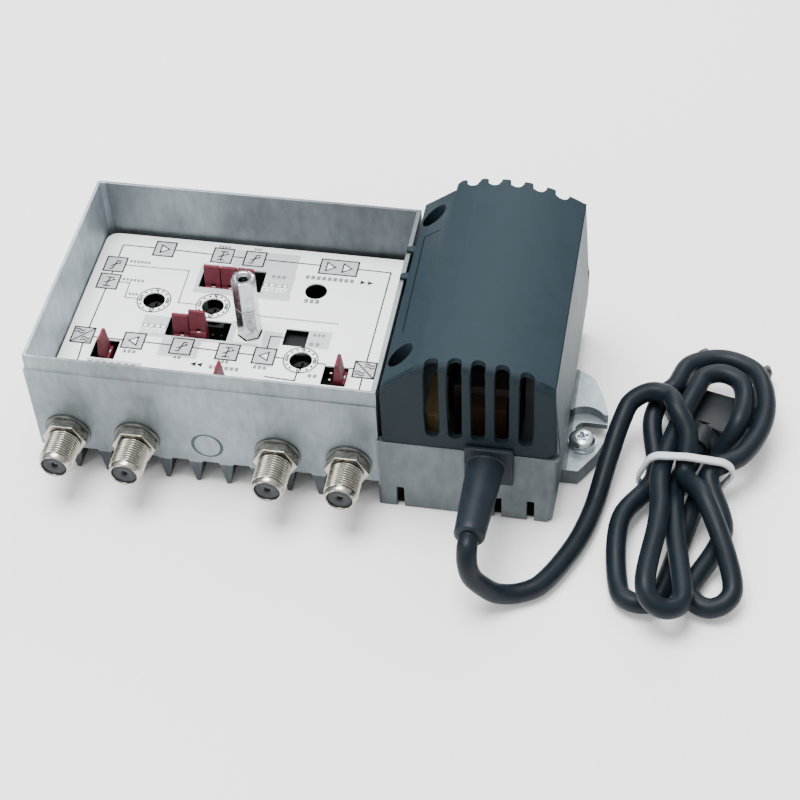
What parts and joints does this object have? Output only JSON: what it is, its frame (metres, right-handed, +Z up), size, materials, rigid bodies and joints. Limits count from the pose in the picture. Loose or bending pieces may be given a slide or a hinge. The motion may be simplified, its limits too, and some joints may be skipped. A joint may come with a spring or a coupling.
{
  "type": "tv signal amplifier",
  "caption": "Finned cast box with threaded coaxial ports, plug-in jumpers and trimmers on a label plate, and a vented mains section with a tied lead.",
  "frame": {"origin": "under the middle of the amplifier without its lead, on the plane of the fin tips", "axes": "+X from the box to the power section, +Z up, ports towards -Y"},
  "size_m": [0.2024, 0.1089, 0.0575],
  "materials": {
    "cast_metal": "die-cast, brushed and mottled",
    "cover_plastic": "fine moulded grain",
    "label_face": "printed satin",
    "circuit_board": "solder mask",
    "core_steel": "varnished laminations",
    "winding_tape": "amber tape",
    "film_capacitor": "moulded box",
    "capacitor_sleeve": "shrunk sleeve",
    "fuse_glass": "clear",
    "nickel": "nickel plated",
    "zinc_steel": "bright zinc plated",
    "dielectric": "moulded",
    "contact_gold": "gold flash",
    "header_black": "moulded",
    "jumper_red": "moulded, slightly translucent",
    "trimmer_blue": "moulded",
    "rotor_ivory": "moulded",
    "led_green": "clear tinted",
    "module_black": "moulded",
    "tin_can": "tinned",
    "cord_rubber": "satin jacket",
    "tie_white": "coated wire",
    "plug_plastic": "moulded"
  },
  "bodies": {
    "amplifier": {"housing": "cast_metal", "psu_cover": "cover_plastic", "label_plate": "label_face", "main_board": "circuit_board", "psu_board": "circuit_board", "transformer_core": "core_steel", "transformer_bobbin": "winding_tape", "mains_capacitor": "film_capacitor", "output_capacitors": "capacitor_sleeve", "fuse": "fuse_glass", "connector_nuts": "nickel", "connector_washers": "zinc_steel", "connector_inserts": "dielectric", "connector_contacts": "contact_gold", "standoff_lower": "zinc_steel", "standoff_upper": "zinc_steel", "pin_headers": "header_black", "header_pins": "contact_gold", "trimmer_bodies": "trimmer_blue", "power_led": "led_green", "downstream_module": "module_black", "upstream_module": "module_black", "diplex_filters": "tin_can", "cover_screws": "zinc_steel", "ground_washer": "zinc_steel", "strain_relief": "cord_rubber", "cord_lead": "cord_rubber", "cord_hank": "cord_rubber", "cable_tie": "tie_white", "plug_body": "plug_plastic", "plug_pins": "nickel", "f_connector_1": "nickel", "f_connector_2": "nickel", "f_connector_3": "nickel", "f_connector_4": "nickel"},
    "jumper_1": {"jumper_1": "jumper_red"},
    "jumper_2": {"jumper_2": "jumper_red"},
    "jumper_3": {"jumper_3": "jumper_red"},
    "jumper_4": {"jumper_4": "jumper_red"},
    "jumper_5": {"jumper_5": "jumper_red"},
    "jumper_6": {"jumper_6": "jumper_red"},
    "jumper_7": {"jumper_7": "jumper_red"},
    "jumper_8": {"jumper_8": "jumper_red"},
    "trimmer_rotor_1": {"trimmer_rotor_1": "rotor_ivory"},
    "trimmer_rotor_2": {"trimmer_rotor_2": "rotor_ivory"},
    "trimmer_rotor_3": {"trimmer_rotor_3": "rotor_ivory"},
    "ground_screw": {"ground_screw": "zinc_steel"}
  },
  "joints": [
    {"name": "jumper_1_pull", "type": "slide", "parent": "amplifier", "child": "jumper_1", "axis": [0, 0, 1], "range_m": [0, 0.006]},
    {"name": "jumper_2_pull", "type": "slide", "parent": "amplifier", "child": "jumper_2", "axis": [0, 0, 1], "range_m": [0, 0.006]},
    {"name": "jumper_3_pull", "type": "slide", "parent": "amplifier", "child": "jumper_3", "axis": [0, 0, 1], "range_m": [0, 0.006]},
    {"name": "jumper_4_pull", "type": "slide", "parent": "amplifier", "child": "jumper_4", "axis": [0, 0, 1], "range_m": [0, 0.006]},
    {"name": "jumper_5_pull", "type": "slide", "parent": "amplifier", "child": "jumper_5", "axis": [0, 0, 1], "range_m": [-0.002, 0.004]},
    {"name": "jumper_6_pull", "type": "slide", "parent": "amplifier", "child": "jumper_6", "axis": [0, 0, 1], "range_m": [0, 0.006]},
    {"name": "jumper_7_pull", "type": "slide", "parent": "amplifier", "child": "jumper_7", "axis": [0, 0, 1], "range_m": [0, 0.006]},
    {"name": "jumper_8_pull", "type": "slide", "parent": "amplifier", "child": "jumper_8", "axis": [0, 0, 1], "range_m": [0, 0.006]},
    {"name": "trimmer_1_turn", "type": "hinge", "parent": "amplifier", "child": "trimmer_rotor_1", "pos_m": [-0.0554, 0.01438, 0.019], "axis": [0, 0, 1], "range_deg": [-135, 135]},
    {"name": "trimmer_2_turn", "type": "hinge", "parent": "amplifier", "child": "trimmer_rotor_2", "pos_m": [-0.0378, 0.01438, 0.019], "axis": [0, 0, 1], "range_deg": [-135, 135]},
    {"name": "trimmer_3_turn", "type": "hinge", "parent": "amplifier", "child": "trimmer_rotor_3", "pos_m": [-0.008, -0.00323, 0.019], "axis": [0, 0, 1], "range_deg": [-135, 135]},
    {"name": "ground_screw_turn", "type": "hinge", "parent": "amplifier", "child": "ground_screw", "pos_m": [0.072, -0.00562, 0.004], "axis": [0, 0, 1], "continuous": true}
  ]
}
